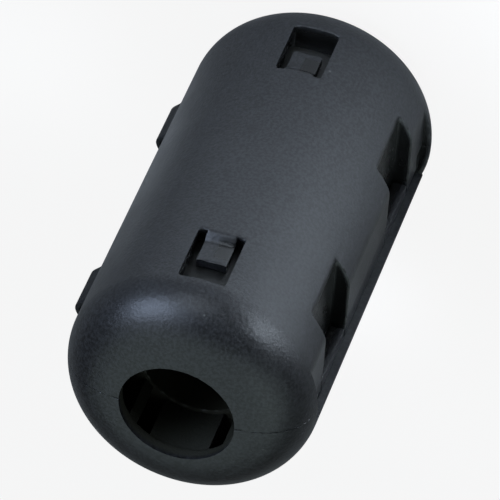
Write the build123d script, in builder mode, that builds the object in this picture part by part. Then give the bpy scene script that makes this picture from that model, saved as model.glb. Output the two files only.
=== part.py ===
from build123d import *
from math import asin, cos, degrees, radians, sin, tan
import os

# Clip-on ferrite bead: a two-part moulded case, hinged along one side and snapped shut along the other,
# holds two ferrite half rings round a cable. It stands on one end, with the cable along Z.
# The front half is on the -Y side, the hinge on the +X side and the latches on the -X side.

# Case: room for the cable, length, wall and the rounded ends
cable_diameter = 9.0
case_length = 39.0
case_wall = 1.3
dome_slope_deg = 18.0
rim_flat = 0.9
parting_gap = 0.1

# Ferrite half rings, with flat sides that seat against the case
core_wall = 3.9
core_length = 28.2
core_clearance = 0.1
core_chamfer = 0.35

# Ribs and wider stops between the end walls and the ferrite
rib_thickness = 1.0
rib_bore_clearance = 0.25
rib_angle_deg = 40.0
stop_width = 4.6

# Windows with a spring tongue that bears on the ferrite
window_from_end = 4.65
window_length = 5.25
window_width = 3.67
window_corner = 0.35
window_cut_depth = 1.9
tongue_width = 2.3
tongue_length = 2.8
tongue_root_thickness = 0.8
tongue_bend_length = 0.9
tongue_dip = 0.55
tongue_sink = 0.08
tongue_clearance = 0.05

# Latch side: flat, lap joint, pockets and snap hooks
latch_flat_depth = 0.78
lap_from_end = 4.1
lap_depth = 1.83
lap_clearance = 0.1
pocket_depth = 2.05
pocket_wall = 0.75
pocket_from_end = 7.8
pocket_width = 6.3
hook_side_gap = 0.2
hook_floor_gap = 0.15
hook_face_inset = 0.07
hook_top = 0.85
barb_reach = 0.25
barb_ramp = 0.4
barb_land = 0.25
groove_clearance = 0.08
groove_end_gap = 0.12
pry_slot_width = 1.1
pry_slot_depth = 1.5

# Hinge side: two bowed straps that bend where the halves part
strap_from_end = 6.8
strap_width = 5.7
strap_thickness = 0.5
strap_bulge = 0.7
strap_bow_radius = 3.74
strap_root_inset = 0.6
strap_root_half_height = 2.7
strap_web_half_height = 1.1
strap_edge_chamfer = 0.2

cable_radius = cable_diameter / 2
core_radius = cable_radius + core_wall
case_radius = core_radius + core_clearance + case_wall
case_diameter = 2 * case_radius
mid_height = case_length / 2
pocket_floor = case_radius - pocket_depth
latch_flat = case_radius - latch_flat_depth
lap_inner = pocket_floor - pocket_wall
core_width = 2 * (lap_inner - lap_clearance)
core_from_end = (case_length - core_length) / 2
pry_slot_floor = case_radius - pry_slot_depth

# Each end is a flat rim round the hole, a shallow cone, and an arc that is tangent to the cone and the side
rim_radius = cable_radius + rim_flat
dome_radius = case_radius - rim_radius
dome_slope = radians(dome_slope_deg)
dome_start = case_length - dome_radius / cos(dome_slope)

mid_plane = Plane(origin=(0, 0, mid_height), x_dir=(0, 1, 0), z_dir=(1, 0, 0))
mirror_plane = Plane.XY.offset(mid_height)


def turned_section(inset, rim, rounded):
    """Upper half of the turned outline, moved inwards by inset, as far as the radius rim."""
    reach = dome_radius - inset
    corner_end = (rim_radius + reach * sin(dome_slope), dome_start + reach * cos(dome_slope))
    rim_height = corner_end[1] + tan(dome_slope) * (corner_end[0] - rim)
    with BuildSketch(Plane.XZ) as section:
        with BuildLine():
            wall = Line((case_radius - inset, mid_height), (case_radius - inset, dome_start))
            if rounded:
                JernArc(wall @ 1, wall % 1, reach, 90 - dome_slope_deg)
            else:
                Line(wall @ 1, corner_end)
            Polyline(corner_end, (rim, rim_height), (0, rim_height), (0, mid_height), wall @ 0)
        make_face()
    return section.sketch


def s_bend(start, drop, length):
    """Two equal arcs, tangent to each other, that step sideways by drop over length."""
    radius = (length**2 + drop**2) / (4 * drop)
    turn = degrees(asin(length / 2 / radius))
    first = JernArc(start, (0, 1), radius, turn)
    return JernArc(first @ 1, first % 1, radius, -turn)


def latch_box(inner, outer, low, high, bottom, height):
    """Block on the latch side, from inner to outer off the axis, low to high in Y, standing at bottom."""
    with BuildPart() as block:
        with BuildSketch(Plane.XY.offset(bottom)):
            with Locations(((-inner - outer) / 2, (low + high) / 2)):
                Rectangle(outer - inner, high - low)
        extrude(amount=height)
    return block.part


# Space inside the case: ferrite seat, sloped end chambers with standing ribs and stops, and the cable hole
with BuildPart() as cavity:
    revolve(turned_section(case_wall, cable_radius, False), axis=Axis.Z)
    mirror(about=mirror_plane)
    with Locations((0, 0, mid_height)):
        Box(core_width, case_diameter, case_length, mode=Mode.INTERSECT)
    rib_spread = 180 - 2 * rib_angle_deg
    rib_start = cable_radius + rib_bore_clearance
    for rib_bottom in (0, case_length - core_from_end):
        for first_angle in (rib_angle_deg, rib_angle_deg + 180):
            with BuildSketch(Plane.XY.offset(rib_bottom)):
                with PolarLocations(rib_start, 2, first_angle, rib_spread, endpoint=True):
                    Rectangle(case_radius, rib_thickness, align=(Align.MIN, Align.CENTER))
            extrude(amount=core_from_end, mode=Mode.SUBTRACT)
        with BuildSketch(Plane.XY.offset(rib_bottom)):
            with PolarLocations(rib_start, 2, 90):
                Rectangle(case_radius, stop_width, align=(Align.MIN, Align.CENTER))
        extrude(amount=core_from_end, mode=Mode.SUBTRACT)
    Cylinder(cable_radius, case_length, align=(Align.CENTER, Align.CENTER, Align.MIN))

# One bowed hinge strap with its roots, as a solid bar over the parting line
strap_reach = case_radius + strap_bulge
strap_bow_centre = strap_reach - strap_bow_radius
strap_root_face = case_radius - strap_root_inset
with BuildPart() as strap_bar:
    with BuildSketch(Plane.XY.offset(strap_from_end)):
        with Locations((strap_bow_centre, 0)):
            Circle(strap_bow_radius)
        with Locations((strap_root_face, 0)):
            Rectangle(case_diameter, 2 * strap_root_half_height, align=(Align.MIN, Align.CENTER),
                      mode=Mode.INTERSECT)
    extrude(amount=strap_width)
    chamfer(strap_bar.edges().filter_by(GeomType.CIRCLE), strap_edge_chamfer)

# The two ends of a strap that are solid with the case, either side of the thin web
with BuildPart() as strap_roots:
    add(strap_bar.part)
    with Locations((strap_reach, 0, mid_height)):
        Box(case_diameter, 2 * strap_web_half_height, case_length, mode=Mode.SUBTRACT)

# The whole case before it is parted: wall, windows with tongues, and the hinge roots
with BuildPart() as case_blank:
    revolve(turned_section(0, rim_radius, True), axis=Axis.Z)
    mirror(about=mirror_plane)
    add(cavity.part, mode=Mode.SUBTRACT)

    window_centre = mid_height - window_from_end - window_length / 2
    window_floor = case_radius - window_cut_depth
    for side in (1, -1):
        with BuildSketch(Plane.XZ.offset(side * window_floor)):
            with Locations((0, mid_height + window_centre), (0, mid_height - window_centre)):
                RectangleRounded(window_width, window_length, window_corner)
        extrude(amount=side * window_cut_depth, mode=Mode.SUBTRACT)

    tongue_root = window_centre - window_length / 2
    tongue_face = case_radius - tongue_sink
    tongue_back = tongue_face - tongue_root_thickness
    tongue_foot = core_radius + tongue_clearance
    tongue_hold = tongue_root - tongue_root_thickness
    with BuildSketch(mid_plane):
        with BuildLine():
            face = s_bend((tongue_face, tongue_root), tongue_dip - tongue_sink, tongue_bend_length)
            back = s_bend((tongue_back, tongue_root), tongue_back - tongue_foot, tongue_bend_length)
            tongue_tip = tongue_root + tongue_length
            Polyline(face @ 1, ((face @ 1).X, tongue_tip), (tongue_foot, tongue_tip), back @ 1)
            Polyline((tongue_back, tongue_root), (tongue_back, tongue_hold), (tongue_face, tongue_hold),
                     (tongue_face, tongue_root))
        make_face()
        mirror(about=Plane.XZ)
        mirror(about=Plane.YZ)
    extrude(amount=tongue_width / 2, both=True)

    add(strap_roots.part)
    add(mirror(strap_roots.part, about=mirror_plane, mode=Mode.PRIVATE))

lap_length = case_length - 2 * lap_from_end
pocket_bottoms = (pocket_from_end, case_length - pocket_from_end - pocket_width)
hook_root = lap_depth + barb_ramp
hook_inner = pocket_floor + hook_floor_gap
hook_outer = latch_flat - hook_face_inset
barb_tip = pocket_floor - barb_reach
barb_start = hook_top + barb_ramp
barb_end = barb_start + barb_land

# Front half: its latch-side wall is cut to a flat, laps past the parting line and holds the two pockets
with BuildPart() as front_case_half:
    add(case_blank.part)
    with Locations((0, -parting_gap / 2, mid_height)):
        Box(2 * case_diameter, case_diameter, case_length, align=(Align.CENTER, Align.MAX, Align.CENTER),
            mode=Mode.INTERSECT)
    add(latch_box(lap_inner, latch_flat, -parting_gap, lap_depth - parting_gap, lap_from_end, lap_length))
    add(latch_box(latch_flat, case_diameter, -case_radius, case_radius, lap_from_end, lap_length),
        mode=Mode.SUBTRACT)
    for pocket_bottom in pocket_bottoms:
        add(latch_box(pocket_floor, case_diameter, -case_radius, case_radius, pocket_bottom, pocket_width),
            mode=Mode.SUBTRACT)
        add(latch_box(barb_tip - groove_clearance, pocket_floor, hook_top, barb_end + groove_end_gap,
                      pocket_bottom, pocket_width), mode=Mode.SUBTRACT)

# Rear half: its wall stops lower to take the lap, and carries the two snap hooks and a slot to pry it open
with BuildPart() as rear_case_half:
    add(case_blank.part)
    with Locations((0, parting_gap / 2, mid_height)):
        Box(2 * case_diameter, case_diameter, case_length, align=(Align.CENTER, Align.MIN, Align.CENTER),
            mode=Mode.INTERSECT)
    add(latch_box(core_width / 2, case_diameter, -parting_gap, lap_depth, lap_from_end - parting_gap,
                  lap_length + 2 * parting_gap), mode=Mode.SUBTRACT)
    add(latch_box(pry_slot_floor, case_diameter, 0, case_radius, lap_from_end, pry_slot_width),
        mode=Mode.SUBTRACT)
    for pocket_bottom in pocket_bottoms:
        with BuildSketch(Plane.XY.offset(pocket_bottom + hook_side_gap)):
            with BuildLine():
                Polyline((-hook_outer, hook_root), (-hook_outer, hook_top), (-hook_inner, hook_top),
                         (-barb_tip, barb_start), (-barb_tip, barb_end), (-hook_inner, barb_end),
                         (-hook_inner, hook_root), close=True)
            make_face()
        extrude(amount=pocket_width - 2 * hook_side_gap)

os.makedirs("parts", exist_ok=True)
front_case_half.part.label = "front_case_half"
export_step(front_case_half.part, "parts/front_case_half.step")
rear_case_half.part.label = "rear_case_half"
export_step(rear_case_half.part, "parts/rear_case_half.step")

# Ferrite halves: half rings with flat sides, ground flat where they meet
for name, side in (("front_ferrite_half", Align.MAX), ("rear_ferrite_half", Align.MIN)):
    with BuildPart() as ferrite_half:
        with BuildSketch(Plane.XY.offset(core_from_end)):
            Circle(core_radius)
            Rectangle(core_width, core_radius, align=(Align.CENTER, side), mode=Mode.INTERSECT)
            Circle(cable_radius, mode=Mode.SUBTRACT)
        extrude(amount=core_length)
        outer_rims = ferrite_half.edges().filter_by(GeomType.CIRCLE).group_by(SortBy.RADIUS)[-1]
        chamfer(outer_rims, core_chamfer)
    ferrite_half.part.label = name
    export_step(ferrite_half.part, f"parts/{name}.step")

# Hinge straps: the thin bowed web that bends between the two roots
strap_back_radius = strap_bow_radius - strap_thickness
for name, flipped in (("lower_hinge_strap", False), ("upper_hinge_strap", True)):
    with BuildPart() as hinge_strap:
        add(mirror(strap_bar.part, about=mirror_plane, mode=Mode.PRIVATE) if flipped else strap_bar.part)
        with Locations((strap_reach, 0, mid_height)):
            Box(case_radius, 2 * strap_web_half_height, case_length, mode=Mode.INTERSECT)
        with Locations((strap_bow_centre, 0, mid_height)):
            Cylinder(strap_back_radius, case_length, mode=Mode.SUBTRACT)
    hinge_strap.part.label = name
    export_step(hinge_strap.part, f"parts/{name}.step")
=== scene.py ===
import math

import bpy
import numpy as np
from mathutils import Matrix, Vector


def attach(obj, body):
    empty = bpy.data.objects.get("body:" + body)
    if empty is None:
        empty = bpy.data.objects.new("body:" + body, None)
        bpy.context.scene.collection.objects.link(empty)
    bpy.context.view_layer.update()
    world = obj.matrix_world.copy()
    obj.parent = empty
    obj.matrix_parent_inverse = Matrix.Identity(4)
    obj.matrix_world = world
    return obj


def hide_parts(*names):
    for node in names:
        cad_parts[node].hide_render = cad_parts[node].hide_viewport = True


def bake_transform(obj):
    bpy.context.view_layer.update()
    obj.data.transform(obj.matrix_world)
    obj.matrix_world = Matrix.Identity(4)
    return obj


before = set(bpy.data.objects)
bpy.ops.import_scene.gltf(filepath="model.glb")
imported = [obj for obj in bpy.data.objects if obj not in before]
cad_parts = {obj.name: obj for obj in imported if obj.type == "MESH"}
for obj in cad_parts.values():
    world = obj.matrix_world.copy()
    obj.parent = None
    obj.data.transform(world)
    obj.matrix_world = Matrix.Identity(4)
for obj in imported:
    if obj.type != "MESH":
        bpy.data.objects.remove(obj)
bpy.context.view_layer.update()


# Ferrite half rings. Two pressed and sintered pieces of dark grey ferrite, flat on the sides that seat in the
# case and ground flat where they meet. They lie loose in the case halves, held by ribs and spring tongues.
MM = 0.001
CASE_LENGTH = 39.0
MID_HEIGHT = CASE_LENGTH / 2
CABLE_RADIUS = 4.5
CORE_RADIUS = 8.4
CORE_HALF_WIDTH = 6.9
CORE_HALF_LENGTH = 14.1
CORE_EDGE = 0.35
CORE_STEP = 0.25
GROUND_FACE_GAP = 0.02
HALVINGS = 9
NUDGE_SHARE = 0.02
CENTRE_PULL = 0.05
CELL_REACH_SHARE = 0.6


def both(a, b, edge=0.0):
    """Field of the space inside both shapes: the larger distance, with the shared edge rounded to a radius."""
    corner = np.hypot(np.maximum(a + edge, 0), np.maximum(b + edge, 0))
    return np.minimum(np.maximum(a, b), -edge) + corner


def either(a, b, fillet=0.0):
    """Field of the space inside one shape or the other, with a fillet along their inner corner."""
    return -both(-a, -b, fillet)


def between(coordinate, low, high):
    """Distance outside a slab from low to high, negative inside it."""
    return np.maximum(low - coordinate, coordinate - high)


def skin(field, low, high, step):
    """Points and quads of the surface where field is zero, on a box grid in millimetres.
    Every grid edge that the surface crosses gives a point and a normal. Each cell then gets one vertex, where
    the tangent planes of its crossed edges meet best by least squares, and each crossed edge gets one quad."""
    low = np.array(low, float)
    counts = np.ceil((np.array(high, float) - low) / step).astype(int) + 1
    axes = [low[k] + step * np.arange(counts[k]) for k in range(3)]
    grid = np.stack(np.meshgrid(*axes, indexing="ij"), -1)
    value = field(grid.reshape(-1, 3)).reshape(counts)
    inside = value < 0
    corners = sum(inside[i:counts[0] - 1 + i, j:counts[1] - 1 + j, k:counts[2] - 1 + k].astype(np.int8)
                  for i in (0, 1) for j in (0, 1) for k in (0, 1))
    crossed = (corners > 0) & (corners < 8)
    number = np.full(crossed.shape, -1)
    number[crossed] = np.arange(crossed.sum())
    total = int(crossed.sum())
    square, mixed = np.zeros((total, 3, 3)), np.zeros((total, 3))
    centre, share = np.zeros((total, 3)), np.zeros(total)
    quads = []
    nudge = NUDGE_SHARE * step
    for k in range(3):
        a, b = (k + 1) % 3, (k + 2) % 3
        first = np.argwhere(np.diff(inside, axis=k))
        start = low + step * first
        along = np.zeros(3)
        along[k] = step
        t0, t1 = np.zeros(len(first)), np.ones(len(first))
        low_inside = inside[tuple(first.T)]
        for _ in range(HALVINGS):
            middle = (t0 + t1) / 2
            same = (field(start + middle[:, None] * along) < 0) == low_inside
            t0, t1 = np.where(same, middle, t0), np.where(same, t1, middle)
        point = start + ((t0 + t1) / 2)[:, None] * along
        shifts = nudge * np.eye(3)
        normal = np.stack([field(point + s) - field(point - s) for s in shifts], -1)
        normal /= np.maximum(np.linalg.norm(normal, axis=1, keepdims=True), 1e-9)
        around = []
        for da, db in ((0, 0), (-1, 0), (-1, -1), (0, -1)):
            cell = first.copy()
            cell[:, a] += da
            cell[:, b] += db
            index = number[tuple(cell.T)]
            np.add.at(square, index, normal[:, :, None] * normal[:, None, :])
            np.add.at(mixed, index, normal * (normal * point).sum(1, keepdims=True))
            np.add.at(centre, index, point)
            np.add.at(share, index, 1)
            around.append(index)
        quad = np.stack(around, -1)
        quads.append(np.where(low_inside[:, None], quad, quad[:, ::-1]))
    centre /= share[:, None]
    rest = mixed - np.einsum("nij,nj->ni", square, centre)
    offset = np.linalg.solve(square + CENTRE_PULL * np.eye(3), rest[:, :, None])[:, :, 0]
    cell_middle = low + step * (np.argwhere(crossed) + 0.5)
    limit = CELL_REACH_SHARE * step
    vertex = cell_middle + np.clip(centre + offset - cell_middle, -limit, limit)
    return vertex, np.concatenate(quads)


def mesh_piece(name, points, faces, material, crease_deg=40):
    """Object at the origin from points in millimetres and quads, smooth up to the crease angle."""
    mesh = bpy.data.meshes.new(name)
    mesh.vertices.add(len(points))
    mesh.vertices.foreach_set("co", (points * MM).astype(np.float32).ravel())
    mesh.loops.add(faces.size)
    mesh.loops.foreach_set("vertex_index", faces.astype(np.int32).ravel())
    mesh.polygons.add(len(faces))
    mesh.polygons.foreach_set("loop_start", np.arange(0, faces.size, 4, dtype=np.int32))
    mesh.update(calc_edges=True)
    mesh.shade_smooth()
    mesh.set_sharp_from_angle(angle=math.radians(crease_deg))
    mesh.materials.append(material)
    piece = bpy.data.objects.new(name, mesh)
    bpy.context.scene.collection.objects.link(piece)
    return piece


def point_values(piece, label, values):
    """Named value at every vertex of a piece, for its material to read."""
    layer = piece.data.attributes.new(label, "FLOAT", "POINT")
    layer.data.foreach_set("value", values.astype(np.float32))


def node_group(name, inputs, outputs):
    """Empty shader node group with float inputs (name, default) and float outputs."""
    group = bpy.data.node_groups.new(name, "ShaderNodeTree")
    group.interface.new_socket("Vector", in_out="INPUT", socket_type="NodeSocketVector")
    for label, default in inputs:
        socket = group.interface.new_socket(label, in_out="INPUT", socket_type="NodeSocketFloat")
        socket.default_value = default
    for label in outputs:
        group.interface.new_socket(label, in_out="OUTPUT", socket_type="NodeSocketFloat")
    return group, group.nodes.new("NodeGroupInput"), group.nodes.new("NodeGroupOutput")


def add_node(tree, kind, settings=(), **inputs):
    """New node with its settings, and inputs by name: a socket is linked, anything else is set as a value."""
    node = tree.nodes.new(kind)
    for key, setting in dict(settings).items():
        setattr(node, key, setting)
    for key, source in inputs.items():
        by_place = key[0] == "_" and key[1:].isdigit()
        socket = node.inputs[int(key[1:])] if by_place else node.inputs[key.replace("_", " ")]
        if isinstance(source, bpy.types.NodeSocket):
            tree.links.new(source, socket)
        else:
            socket.default_value = source
    return node


def ramp(tree, source, low, high):
    """Smooth step of a value: 0 below low, 1 above high."""
    node = add_node(tree, "ShaderNodeMapRange", {"interpolation_type": "SMOOTHSTEP"}, Value=source)
    node.inputs["From Min"].default_value = low
    node.inputs["From Max"].default_value = high
    return node.outputs["Result"]


def sum_of(tree, a, b, share=1.0):
    """a + share * b"""
    return add_node(tree, "ShaderNodeMath", {"operation": "MULTIPLY_ADD"}, _0=b, _1=share, _2=a).outputs[0]


# Fine grain of a moulded or sintered surface: two sizes of noise, slow mottling, and fine speckle for colour
grain, grain_in, grain_out = node_group("surface_grain", [("Size", 5000.0)], ["Height", "Mottle", "Speckle"])
fine = add_node(grain, "ShaderNodeTexNoise", Vector=grain_in.outputs["Vector"], Scale=grain_in.outputs["Size"],
                Detail=3.0, Roughness=0.6)
coarse_size = add_node(grain, "ShaderNodeMath", {"operation": "MULTIPLY"}, _0=grain_in.outputs["Size"], _1=0.31)
coarse = add_node(grain, "ShaderNodeTexNoise", Vector=grain_in.outputs["Vector"], Scale=coarse_size.outputs[0],
                  Detail=2.0)
slow_size = add_node(grain, "ShaderNodeMath", {"operation": "MULTIPLY"}, _0=grain_in.outputs["Size"], _1=0.06)
slow = add_node(grain, "ShaderNodeTexNoise", Vector=grain_in.outputs["Vector"], Scale=slow_size.outputs[0],
                Detail=4.0, Roughness=0.6)
grain.links.new(sum_of(grain, fine.outputs[0], coarse.outputs[0], 0.6), grain_out.inputs["Height"])
grain.links.new(ramp(grain, slow.outputs[0], 0.3, 0.7), grain_out.inputs["Mottle"])
grain.links.new(ramp(grain, fine.outputs[0], 0.35, 0.65), grain_out.inputs["Speckle"])

# Sparse pale specks, dust on the case and painted glints on the ferrite: small spots round the points of a
# scattered lattice, most of them off
specks, specks_in, specks_out = node_group("pale_specks", [("Size", 800.0), ("Share", 0.1)], ["Mask"])
lattice = add_node(specks, "ShaderNodeTexVoronoi", Vector=specks_in.outputs["Vector"],
                   Scale=specks_in.outputs["Size"])
spot = add_node(specks, "ShaderNodeMath", {"operation": "SUBTRACT"}, _0=1.0,
                _1=ramp(specks, lattice.outputs["Distance"], 0.05, 0.14))
channels = add_node(specks, "ShaderNodeSeparateColor", Color=lattice.outputs["Color"])
chosen = add_node(specks, "ShaderNodeMath", {"operation": "LESS_THAN"}, _0=channels.outputs[0],
                  _1=specks_in.outputs["Share"])
lit_spot = add_node(specks, "ShaderNodeMath", {"operation": "MULTIPLY"}, _0=spot.outputs[0],
                    _1=chosen.outputs[0])
specks.links.new(lit_spot.outputs[0], specks_out.inputs["Mask"])


def new_material(name):
    """Material with an empty tree: its node tree, its shader and its Object coordinates."""
    material = bpy.data.materials.new(name)
    material.use_nodes = True
    tree = material.node_tree
    tree.nodes.clear()
    shader = tree.nodes.new("ShaderNodeBsdfPrincipled")
    add_node(tree, "ShaderNodeOutputMaterial", Surface=shader.outputs[0])
    return material, tree, shader, tree.nodes.new("ShaderNodeTexCoord").outputs["Object"]


def use_group(tree, group, place, **values):
    """Node that places a shared group in a material, with its own values."""
    node = tree.nodes.new("ShaderNodeGroup")
    node.node_tree = group
    tree.links.new(place, node.inputs["Vector"])
    for key, value in values.items():
        node.inputs[key].default_value = value
    return node


def colour_mix(tree, share, a, b):
    """Colour a where share is 0 and b where it is 1."""
    node = tree.nodes.new("ShaderNodeMix")
    node.data_type = "RGBA"
    tree.links.new(share, node.inputs[0])
    for socket, source in ((node.inputs[6], a), (node.inputs[7], b)):
        if isinstance(source, bpy.types.NodeSocket):
            tree.links.new(source, socket)
        else:
            socket.default_value = (*source, 1.0)
    return node.outputs[2]


def value_range(tree, source, low, high):
    """Value from low to high as source goes from 0 to 1."""
    node = add_node(tree, "ShaderNodeMapRange", Value=source)
    node.inputs["To Min"].default_value = low
    node.inputs["To Max"].default_value = high
    return node.outputs["Result"]


sintered_ferrite, tree, shader, place = new_material("sintered_ferrite")
surface = use_group(tree, grain, place, Size=6000.0)
glints = use_group(tree, specks, place, Size=2500.0, Share=0.12)
body = colour_mix(tree, surface.outputs["Mottle"], (0.022, 0.0215, 0.0145), (0.034, 0.033, 0.0225))
# Painted glints: scattered pale spots on the ferrite stand in for light catching its surface
body = colour_mix(tree, glints.outputs["Mask"], body, (0.16, 0.16, 0.16))
# Painted shade: the part of each half ring farther out than its flats lies under the case wall and is painted near
# black
outside = add_node(tree, "ShaderNodeAttribute", {"attribute_name": "outside"}).outputs["Fac"]
tree.links.new(colour_mix(tree, outside, body, (0.005, 0.005, 0.004)), shader.inputs["Base Color"])
tree.links.new(value_range(tree, surface.outputs["Mottle"], 0.42, 0.58), shader.inputs["Roughness"])
bump = add_node(tree, "ShaderNodeBump", Height=surface.outputs["Height"], Strength=0.5, Distance=0.00002)
tree.links.new(bump.outputs[0], shader.inputs["Normal"])


def core_field(side):
    """Half ring on one side of the parting plane: inside the outer radius and the two flats, outside the hole."""
    def field(p):
        x, y, height = p[:, 0], p[:, 1] * side, np.abs(p[:, 2] - MID_HEIGHT)
        radius = np.hypot(x, y)
        ring = both(radius - CORE_RADIUS, np.abs(x) - CORE_HALF_WIDTH, CORE_EDGE)
        ring = both(ring, height - CORE_HALF_LENGTH, CORE_EDGE)
        ring = both(ring, CABLE_RADIUS - radius, CORE_EDGE / 2)
        return both(ring, GROUND_FACE_GAP - y, CORE_EDGE / 3)
    return field


for body_name, side in (("rear", 1), ("front", -1)):
    reach = CORE_RADIUS + CORE_EDGE
    edge = 2 * CORE_STEP
    core_low = (-CORE_HALF_WIDTH - edge, -edge if side > 0 else -reach, MID_HEIGHT - CORE_HALF_LENGTH - edge)
    core_high = (CORE_HALF_WIDTH + edge, reach if side > 0 else edge, MID_HEIGHT + CORE_HALF_LENGTH + edge)
    points, faces = skin(core_field(side), core_low, core_high, CORE_STEP)
    core = mesh_piece(f"{body_name}_core", points, faces, sintered_ferrite)
    # Marks the part of the ring that gets the painted shade
    point_values(core, "outside", np.hypot(points[:, 0], points[:, 1]) > CORE_HALF_WIDTH)
    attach(core, f"{body_name}_half")
    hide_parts(f"{body_name}_ferrite_half")


# Case halves. Two thin shells moulded in black plastic with a fine satin grain. Their ends round over to the
# cable hole, each has two windows with a bent spring tongue, and they meet at a parting line on the axis.
CASE_RADIUS = 9.792
WALL = 1.3
RIM_RADIUS = 5.4
DOME_RADIUS = CASE_RADIUS - RIM_RADIUS
DOME_SLOPE = math.radians(18.0)
DOME_START = MID_HEIGHT - DOME_RADIUS / math.cos(DOME_SLOPE)
END_HEIGHT = MID_HEIGHT - 0.008
RIM_EDGE = 0.3
HOLE_EDGE = 0.04
INNER_FILLET = 0.3
RIB_ANGLE = math.radians(40.0)
RIB_HALF_THICKNESS = 0.5
RIB_BORE = 4.75
RIB_BORE_EDGE = 0.15
RIB_EDGE = 0.1
CORE_END_GAP = 0.05
STOP_HALF_WIDTH = 2.3
WINDOW_CENTRE = 12.225
WINDOW_HALF_LENGTH = 2.625
WINDOW_HALF_WIDTH = 1.835
WINDOW_CORNER = 0.35
WINDOW_EDGE = 0.15
WINDOW_FLOOR = 7.9
TONGUE_ROOT = WINDOW_CENTRE - WINDOW_HALF_LENGTH
TONGUE_HALF_WIDTH = 1.15
TONGUE_LENGTH = 2.8
TONGUE_HOLD = 0.8
TONGUE_BEND = 0.9
TONGUE_DIP = 0.55
TONGUE_ROOT_THICKNESS = 0.88
TONGUE_FOOT = 8.45
TONGUE_EDGE = 0.12
PARTING_GAP = 0.006
PARTING_EDGE = 0.1
CASE_STEP = 0.19


def turned(radius, height, inset):
    """Turned outline of the case, moved inwards: a straight side, an arc tangent to it, and a shallow cone."""
    out, up = radius - RIM_RADIUS, height - DOME_START
    sine, cosine = math.sin(DOME_SLOPE), math.cos(DOME_SLOPE)
    arc = np.hypot(out, up) - (DOME_RADIUS - inset)
    cone = out * sine + up * cosine - (DOME_RADIUS - inset)
    end = np.where(up * sine > out * cosine, cone, arc)
    return np.where(up < 0, radius - (CASE_RADIUS - inset), end)


def smooth_step(value, low, high):
    """0 below low, 1 above high, and 3t^2 - 2t^3 between them."""
    t = np.clip((value - low) / (high - low), 0, 1)
    return t * t * (3 - 2 * t)


def whole_case(x, y, height):
    """Both halves as one: the turned outline less the hollow inside, cut by the windows, plus the tongues.
    The hollow is the same outline moved in by the wall, with flat sides, and each end of it has four standing
    ribs and two wider stops."""
    radius = np.hypot(x, y)
    outside = both(turned(radius, height, 0), height - END_HEIGHT, RIM_EDGE)
    hollow = both(turned(radius, height, WALL), np.abs(x) - CORE_HALF_WIDTH, INNER_FILLET)
    across = np.abs(np.abs(x) * math.sin(RIB_ANGLE) - np.abs(y) * math.cos(RIB_ANGLE))
    rib = np.minimum(across - RIB_HALF_THICKNESS, np.abs(x) - STOP_HALF_WIDTH)
    rib = both(rib, RIB_BORE - radius, RIB_BORE_EDGE)
    rib = both(rib, CORE_HALF_LENGTH + CORE_END_GAP - height, RIB_EDGE)
    hollow = both(hollow, -rib, RIB_EDGE)
    hollow = either(hollow, radius - CABLE_RADIUS, RIB_EDGE)
    wall = both(outside, -hollow, HOLE_EDGE)
    across = np.abs(x) - WINDOW_HALF_WIDTH
    along = np.abs(height - WINDOW_CENTRE) - WINDOW_HALF_LENGTH
    window = both(both(across, along, WINDOW_CORNER), WINDOW_FLOOR - np.abs(y))
    wall = both(wall, -window, WINDOW_EDGE)
    reach = height - TONGUE_ROOT
    bend = smooth_step(reach, 0, TONGUE_BEND)
    face = CASE_RADIUS - TONGUE_DIP * bend
    back = CASE_RADIUS - TONGUE_ROOT_THICKNESS
    back = back + (TONGUE_FOOT - back) * bend
    tongue = both(between(radius, back, face), np.abs(x) - TONGUE_HALF_WIDTH, TONGUE_EDGE)
    tongue = both(tongue, between(reach, -TONGUE_HOLD, TONGUE_LENGTH), TONGUE_EDGE)
    return np.minimum(wall, tongue)


# Latch side of the case halves. The front wall ends in a flat that laps over the rear one and has two deep
# pockets. A snap hook on the rear half stands in each pocket, its barb behind the lip of the pocket's floor.
LATCH_FLAT = 9.02
LAP_INNER = 7.0
LAP_FROM_END = 4.1
LAP_DEPTH = 1.73
LAP_ROOT = -0.6
LAP_EDGE = 0.15
LAP_CLEARANCE = 0.1
POCKET_FLOOR = 7.75
POCKET_CORNER = 0.2
POCKET_FROM_END = 7.8
POCKET_HALF_WIDTH = 3.15
POCKET_MIDDLE = MID_HEIGHT - POCKET_FROM_END - POCKET_HALF_WIDTH
HOOK_HALF_WIDTH = 2.95
HOOK_OUTER = 8.95
HOOK_INNER = 7.9
HOOK_TOP = 0.85
HOOK_HOLD = 0.5
HOOK_EDGE = 0.12
HOOK_OVERRUN = 0.3
BARB_TIP = 7.5
BARB_END = 1.5
BARB_EDGE = 0.05
GROOVE = 0.08
GROOVE_ROOM = 0.12
PRY_SLOT_WIDTH = 1.1
PRY_SLOT_FLOOR = 8.3
PRY_SLOT_CORNER = 0.2


def front_field(p):
    """The front part of the case in front of the parting plane, with the lap block, flat, pockets and grooves."""
    x, y, height = p[:, 0], p[:, 1], np.abs(p[:, 2] - MID_HEIGHT)
    half = both(whole_case(x, y, height), y + PARTING_GAP, PARTING_EDGE)
    lap_half_length = MID_HEIGHT - LAP_FROM_END
    lap = both(between(-x, LAP_INNER, LATCH_FLAT), between(y, LAP_ROOT, LAP_DEPTH), LAP_EDGE)
    lap = both(lap, height - lap_half_length, LAP_EDGE)
    half = np.minimum(half, lap)
    half = both(half, -both(LATCH_FLAT + x, height - lap_half_length), LAP_EDGE)
    along = np.abs(height - POCKET_MIDDLE) - POCKET_HALF_WIDTH
    half = both(half, -both(POCKET_FLOOR + x, along, POCKET_CORNER), LAP_EDGE)
    groove = both(between(-x, BARB_TIP - GROOVE, POCKET_FLOOR + HOOK_OVERRUN),
                  between(y, HOOK_TOP, BARB_END + GROOVE_ROOM))
    return both(half, -both(groove, along), BARB_EDGE)


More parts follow.
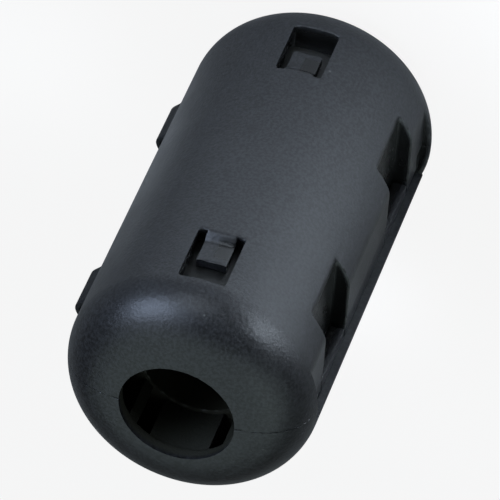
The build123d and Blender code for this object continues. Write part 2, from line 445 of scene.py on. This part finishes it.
def rear_field(p):
    """The rear part of the case behind the parting plane, less the rebate for the lap and the pry slot,
    plus the hooks: an upright with a barb whose face slopes in from its top."""
    x, y, height = p[:, 0], p[:, 1], np.abs(p[:, 2] - MID_HEIGHT)
    half = both(whole_case(x, y, height), PARTING_GAP - y, PARTING_EDGE)
    rebate = both(CORE_HALF_WIDTH + x, y - LAP_DEPTH - LAP_CLEARANCE)
    rebate = both(rebate, height - (MID_HEIGHT - LAP_FROM_END + LAP_CLEARANCE))
    half = both(half, -rebate, PARTING_EDGE)
    slot_along = between(p[:, 2], LAP_FROM_END, LAP_FROM_END + PRY_SLOT_WIDTH)
    slot = both(PRY_SLOT_FLOOR + x, slot_along, PRY_SLOT_CORNER)
    half = both(half, -slot, LAP_EDGE)
    along = np.abs(height - POCKET_MIDDLE) - HOOK_HALF_WIDTH
    upright = both(between(-x, HOOK_INNER, HOOK_OUTER), between(y, HOOK_TOP, LAP_DEPTH + HOOK_HOLD), HOOK_EDGE)
    slope = (HOOK_INNER + x - (y - HOOK_TOP)) / math.sqrt(2)
    barb = np.maximum(between(-x, BARB_TIP, HOOK_INNER + HOOK_OVERRUN), slope)
    barb = both(barb, between(y, HOOK_TOP, BARB_END), BARB_EDGE)
    hook = both(np.minimum(upright, barb), along, HOOK_EDGE)
    return np.minimum(half, hook)


RECESS_FROM = 0.85
RECESS_TO = 1.4
WALL_SHADE_TO = 0.45
RECESS_SKIN = 0.12
INNER_FROM = 0.35
INNER_TO = 0.8


def recess_shade(points):
    """Share from 0 to 1 of painted shade, by which a point lies in a pocket or window: a smooth step of its depth
    below the turned outline, for points outside the inner walls. It starts at once on the walls of the pockets,
    windows, pry slot and the end of the latch flat. The material paints shade with it, turning the colour near
    black."""
    x, y, z = points.T
    height, radius = np.abs(z - MID_HEIGHT), np.hypot(x, y)
    depth = -turned(radius, height, 0)
    pocket_along = np.abs(height - POCKET_MIDDLE) - POCKET_HALF_WIDTH
    on_floor = (pocket_along < RECESS_SKIN) & (-x < POCKET_FLOOR + RECESS_SKIN)
    on_pocket = (x < 0) & (y < HOOK_TOP - RECESS_SKIN) & (on_floor | (np.abs(pocket_along) < RECESS_SKIN))
    window_across = np.abs(x) - WINDOW_HALF_WIDTH
    window_along = np.abs(height - WINDOW_CENTRE) - WINDOW_HALF_LENGTH
    on_window = np.abs(np.maximum(window_across, window_along)) < RECESS_SKIN
    in_slot = np.abs(z - LAP_FROM_END - PRY_SLOT_WIDTH / 2) < PRY_SLOT_WIDTH / 2 + RECESS_SKIN
    on_step = np.abs(height - MID_HEIGHT + LAP_FROM_END) < RECESS_SKIN
    on_latch = (x < -LATCH_FLAT + RECESS_SKIN) & (on_step | in_slot & (y > 0))
    share = np.where(on_pocket | on_window | on_latch, smooth_step(depth, 0, WALL_SHADE_TO),
                     smooth_step(depth, RECESS_FROM, RECESS_TO))
    return share * np.clip((radius - LAP_INNER) / (POCKET_FLOOR - LAP_INNER), 0, 1)


def inner(points):
    """Share from 0 to 1 by which a point lies inside the cable hole: a smooth step of its depth below the turned
    outline, for points nearer the axis than the pockets. The material paints the hole's shade with it, as a flat
    olive colour."""
    radius, height = np.hypot(points[:, 0], points[:, 1]), np.abs(points[:, 2] - MID_HEIGHT)
    share = smooth_step(-turned(radius, height, 0), INNER_FROM, INNER_TO)
    return share * np.clip((POCKET_FLOOR - radius) / (POCKET_FLOOR - LAP_INNER), 0, 1)


# Satin black moulding: charcoal with a fine grain and a few pale specks of dust, with painted shade that turns
# the pockets, windows and latch recesses near black, and a flat olive tone painted in the cable hole as its shade
GRAIN_SIZE = 4200.0
GRAIN_STRENGTH = 0.6
GRAIN_DEPTH = 0.00004
satin_case, tree, shader, place = new_material("satin_case_plastic")
surface = use_group(tree, grain, place, Size=GRAIN_SIZE)
deep = add_node(tree, "ShaderNodeAttribute", {"attribute_name": "recess_shade"}).outputs["Fac"]
within = add_node(tree, "ShaderNodeAttribute", {"attribute_name": "inner"}).outputs["Fac"]
dust = use_group(tree, specks, place, Size=900.0, Share=0.02)
body = colour_mix(tree, surface.outputs["Speckle"], (0.0050, 0.0051, 0.0058), (0.0190, 0.0195, 0.0215))
body = colour_mix(tree, dust.outputs["Mask"], body, (0.07, 0.07, 0.07))
# Painted shade: inside the cable hole the speckled colour gives way to a flat olive tone
body = colour_mix(tree, within, body, (0.012, 0.012, 0.007))
# Painted shade: the colour goes near black in the pockets, windows, pry slot and latch step, by the share read
# from the mesh
tree.links.new(colour_mix(tree, deep, body, (0.004, 0.004, 0.0038)), shader.inputs["Base Color"])
satin = value_range(tree, surface.outputs["Mottle"], 0.34, 0.40)
satin = sum_of(tree, satin, within, 0.25)
tree.links.new(sum_of(tree, satin, deep, -0.12), shader.inputs["Roughness"])
bump = add_node(tree, "ShaderNodeBump", Height=surface.outputs["Height"], Strength=GRAIN_STRENGTH,
                Distance=GRAIN_DEPTH)
tree.links.new(bump.outputs[0], shader.inputs["Normal"])

margin = 2 * CASE_STEP
for body_name, field, y_low, y_high in (("rear", rear_field, -margin, CASE_RADIUS + margin),
                                        ("front", front_field, -CASE_RADIUS - margin, LAP_DEPTH + margin)):
    box_low = (-CASE_RADIUS - margin, y_low, -margin)
    box_high = (CASE_RADIUS + margin, y_high, CASE_LENGTH + margin)
    points, faces = skin(field, box_low, box_high, CASE_STEP)
    shell = mesh_piece(f"{body_name}_shell", points, faces, satin_case)
    point_values(shell, "recess_shade", recess_shade(points))
    point_values(shell, "inner", inner(points))
    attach(shell, f"{body_name}_half")
    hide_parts(f"{body_name}_case_half")


# Hinge straps. Two short bands of the same moulding bridge the parting line on the hinge side. Each has a low
# hump on both sides of a groove at the parting line, where it bends, and its ends run into the case walls.
STRAP_BOTTOMS = {"lower": 8.4, "upper": 28.1}
STRAP_WIDTH = 4.1
STRAP_THICKNESS = 0.5
STRAP_HUMP = 0.56
STRAP_GROOVE = 0.15
STRAP_SINK = 0.02
STRAP_ROOT = 2.6
STRAP_EDGE = 0.2


def strap_band(bottom):
    """Rounded rectangle section carried round the case: a quarter circle at each corner of the section, at every
    step along the band, with a cap at both ends. The outside stands over the case radius by the hump times a
    squared sine of the way to the root, plus a low rest of it in the groove. Points go section by section."""
    quarter = np.linspace(0, math.pi / 2, 6)
    half_height, half_width = STRAP_THICKNESS / 2 - STRAP_EDGE, STRAP_WIDTH / 2 - STRAP_EDGE
    ring_out = np.concatenate([sx * half_height + STRAP_EDGE * np.cos(quarter + turn)
                               for sx, turn in ((1, 0), (-1, math.pi / 2), (-1, math.pi), (1, 1.5 * math.pi))])
    ring_along = np.concatenate([sz * half_width + STRAP_EDGE * np.sin(quarter + turn)
                                 for sz, turn in ((1, 0), (1, math.pi / 2), (-1, math.pi), (-1, 1.5 * math.pi))])
    way = np.linspace(-1, 1, 49)
    lift = np.sin(math.pi * way) ** 2 + STRAP_GROOVE * np.cos(math.pi / 2 * way) ** 2
    outside = CASE_RADIUS - STRAP_SINK + STRAP_HUMP * lift
    angle = way * STRAP_ROOT / CASE_RADIUS
    radius = (outside - STRAP_THICKNESS / 2)[:, None] + ring_out
    x = np.cos(angle)[:, None] * radius
    y = np.sin(angle)[:, None] * radius
    z = np.broadcast_to(bottom + STRAP_WIDTH / 2 + ring_along, x.shape)
    points = np.stack([x, y, z], -1).reshape(-1, 3)
    count, rows = len(ring_out), len(angle)
    i, j = np.meshgrid(np.arange(rows - 1), np.arange(count), indexing="ij")
    k = (j + 1) % count
    sides = np.stack([i * count + j, (i + 1) * count + j, (i + 1) * count + k, i * count + k], -1).reshape(-1, 4)
    rung = np.arange(count // 2 - 1)
    cap = np.stack([rung, rung + 1, count - 2 - rung, count - 1 - rung], -1)
    return points, np.concatenate([sides, cap, cap[:, ::-1] + (rows - 1) * count])


# The bending bands are a shaded copy of the wall plastic: a darker colour and weaker specular as painted shade,
# with a rougher grain
shaded_strap, tree, shader, place = new_material("shaded_strap_plastic")
surface = use_group(tree, grain, place, Size=GRAIN_SIZE)
# Painted shade: a darker colour than the case walls
tree.links.new(colour_mix(tree, surface.outputs["Speckle"], (0.0045, 0.0045, 0.0050), (0.0130, 0.0132, 0.0142)),
               shader.inputs["Base Color"])
tree.links.new(value_range(tree, surface.outputs["Mottle"], 0.50, 0.60), shader.inputs["Roughness"])
shader.inputs["Specular IOR Level"].default_value = 0.2
bump = add_node(tree, "ShaderNodeBump", Height=surface.outputs["Height"], Strength=GRAIN_STRENGTH,
                Distance=GRAIN_DEPTH)
tree.links.new(bump.outputs[0], shader.inputs["Normal"])

for name, bottom in STRAP_BOTTOMS.items():
    strap = mesh_piece(f"{name}_strap", *strap_band(bottom), shaded_strap)
    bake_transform(strap)
    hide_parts(f"{name}_hinge_strap")


# Floor. A plain sweep of matt card under the bead. The camera sees it as white, with a faint shadow, while the
# bead itself is lit and mirrored by the card as the lamps light it.
FLOOR_HALF = 3.0
FLOOR_STEPS = 9
CARD_GREY = 0.22
SEEN_WHITE = 0.9
MIRRORED_WHITE = 0.07
floor_mesh = bpy.data.meshes.new("floor")
steps = np.linspace(-FLOOR_HALF, FLOOR_HALF, FLOOR_STEPS)
fx, fy = np.meshgrid(steps, steps, indexing="ij")
i, j = np.meshgrid(np.arange(FLOOR_STEPS - 1), np.arange(FLOOR_STEPS - 1), indexing="ij")
corner = i * FLOOR_STEPS + j
floor_faces = np.stack([corner, corner + FLOOR_STEPS, corner + FLOOR_STEPS + 1, corner + 1], -1).reshape(-1, 4)
floor_mesh.from_pydata(np.stack([fx, fy, 0 * fx], -1).reshape(-1, 3).tolist(), [], floor_faces.tolist())
floor = bpy.data.objects.new("floor", floor_mesh)
bpy.context.scene.collection.objects.link(floor)
white_card, tree, shader, place = new_material("white_card")
card = add_node(tree, "ShaderNodeTexNoise", Vector=place, Scale=900.0, Detail=2.0)
tree.links.new(colour_mix(tree, card.outputs[0], (0.97 * CARD_GREY,) * 3, (1.03 * CARD_GREY,) * 3),
               shader.inputs["Base Color"])
shader.inputs["Roughness"].default_value = 0.9
shader.inputs["Specular IOR Level"].default_value = 0.1
seen = add_node(tree, "ShaderNodeLightPath")
mirrored = add_node(tree, "ShaderNodeMath", {"operation": "MAXIMUM"}, _0=seen.outputs["Is Glossy Ray"],
                    _1=seen.outputs["Is Transmission Ray"])
mirrored = add_node(tree, "ShaderNodeMath", {"operation": "MULTIPLY"}, _0=mirrored.outputs[0], _1=MIRRORED_WHITE)
white_share = sum_of(tree, mirrored.outputs[0], seen.outputs["Is Camera Ray"], SEEN_WHITE)
glow = add_node(tree, "ShaderNodeEmission", Color=(1.0, 1.0, 1.0, 1.0), Strength=1.0)
mix = add_node(tree, "ShaderNodeMixShader", _0=white_share, _1=shader.outputs[0], _2=glow.outputs[0])
output = next(n for n in tree.nodes if n.type == "OUTPUT_MATERIAL")
tree.links.new(mix.outputs[0], output.inputs["Surface"])
floor_mesh.materials.append(white_card)


# Studio light: a dim surround, soft panels aimed at the bead from both sides and behind, and low lamps that
# light the card in front of it, which the dark case mirrors as broad bands.
SURROUND = 0.05
world = bpy.data.worlds.new("studio")
bpy.context.scene.world = world
world.use_nodes = True
world.node_tree.nodes["Background"].inputs["Color"].default_value = (1.0, 1.0, 1.0, 1.0)
world.node_tree.nodes["Background"].inputs["Strength"].default_value = SURROUND
BLUE_WHITE = (0.74, 0.90, 1.20)
COOL_WHITE = (0.88, 1.00, 1.14)
PALE_WHITE = (0.84, 1.03, 1.04)


def area_lamp(name, place, facing, size, power, colour, spread_deg=180):
    """Square area light at a place, shining against the facing direction within the spread angle."""
    lamp = bpy.data.lights.new(name, "AREA")
    lamp.size, lamp.energy, lamp.color = size, power, colour
    lamp.spread = math.radians(spread_deg)
    holder = bpy.data.objects.new(name, lamp)
    holder.location = place
    holder.rotation_euler = facing.to_track_quat("Z", "Y").to_euler()
    holder.visible_camera = False
    bpy.context.scene.collection.objects.link(holder)


def soft_panel(name, azimuth, elevation, distance, size, power, colour):
    """Panel that looks at the middle of the bead from azimuth degrees off the front, counted to the latch side."""
    a, e = math.radians(azimuth), math.radians(elevation)
    facing = Vector((-math.sin(a) * math.cos(e), -math.cos(a) * math.cos(e), math.sin(e)))
    area_lamp(name, Vector((0, 0, MID_HEIGHT * MM)) + facing * distance, facing, size, power, colour)


def card_lamp(name, azimuth, reach, height, size, power, spread_deg):
    """Lamp that looks straight down at the card, at a reach from the axis and a height over the card."""
    a = math.radians(azimuth)
    area_lamp(name, Vector((-math.sin(a) * reach, -math.cos(a) * reach, height)), Vector((0, 0, 1)), size, power,
              COOL_WHITE, spread_deg)


soft_panel("hinge_side_panel", -45, 28, 0.40, 0.22, 0.97, BLUE_WHITE)
soft_panel("high_front_panel", -60, 50, 0.40, 0.25, 0.13, COOL_WHITE)
soft_panel("front_panel", -10, 15, 0.40, 0.20, 0.26, COOL_WHITE)
soft_panel("low_latch_panel", 50, 7, 0.30, 0.10, 0.25, COOL_WHITE)
soft_panel("high_latch_panel", 110, 45, 0.40, 0.30, 0.17, PALE_WHITE)
soft_panel("high_hinge_panel", -110, 60, 0.40, 0.30, 0.05, PALE_WHITE)
soft_panel("back_panel", 180, 65, 0.40, 0.60, 0.68, PALE_WHITE)
card_lamp("far_card_lamp", 50, 0.16, 0.07, 0.10, 1.30, 100)
card_lamp("near_card_lamp", 50, 0.045, 0.035, 0.04, 0.044, 70)
card_lamp("front_card_lamp", 15, 0.045, 0.035, 0.04, 0.026, 70)
card_lamp("hinge_card_lamp", -22, 0.045, 0.035, 0.04, 0.020, 70)
card_lamp("hinge_foot_lamp", -100, 0.026, 0.020, 0.012, 0.0012, 70)
card_lamp("back_card_lamp", 150, 0.036, 0.030, 0.02, 0.0012, 70)
card_lamp("back_foot_lamp", 170, 0.022, 0.014, 0.008, 0.0006, 60)

# Camera: a long lens that looks down at the near end, turned so that the near end is low in the picture.
CAMERA_PLACE = Vector((-0.07185, -0.2773, 0.3042))
CAMERA_RIGHT = Vector((-0.95358, -0.05569, -0.29596)).normalized()
CAMERA_LOOK = Vector((0.17837, 0.68739, -0.70405)).normalized()
LENS_MM = 379.3
lens = bpy.data.cameras.new("photo_camera")
lens.lens, lens.sensor_width, lens.sensor_fit = LENS_MM, 36.0, "HORIZONTAL"
lens.clip_start, lens.clip_end = 0.01, 20.0
camera = bpy.data.objects.new("photo_camera", lens)
upward = CAMERA_RIGHT.cross(CAMERA_LOOK)
turn = Matrix((CAMERA_RIGHT, upward, -CAMERA_LOOK)).transposed().to_4x4()
camera.matrix_world = Matrix.Translation(CAMERA_PLACE) @ turn
bpy.context.scene.collection.objects.link(camera)
bpy.context.scene.camera = camera
bpy.context.scene.view_settings.view_transform = "Standard"
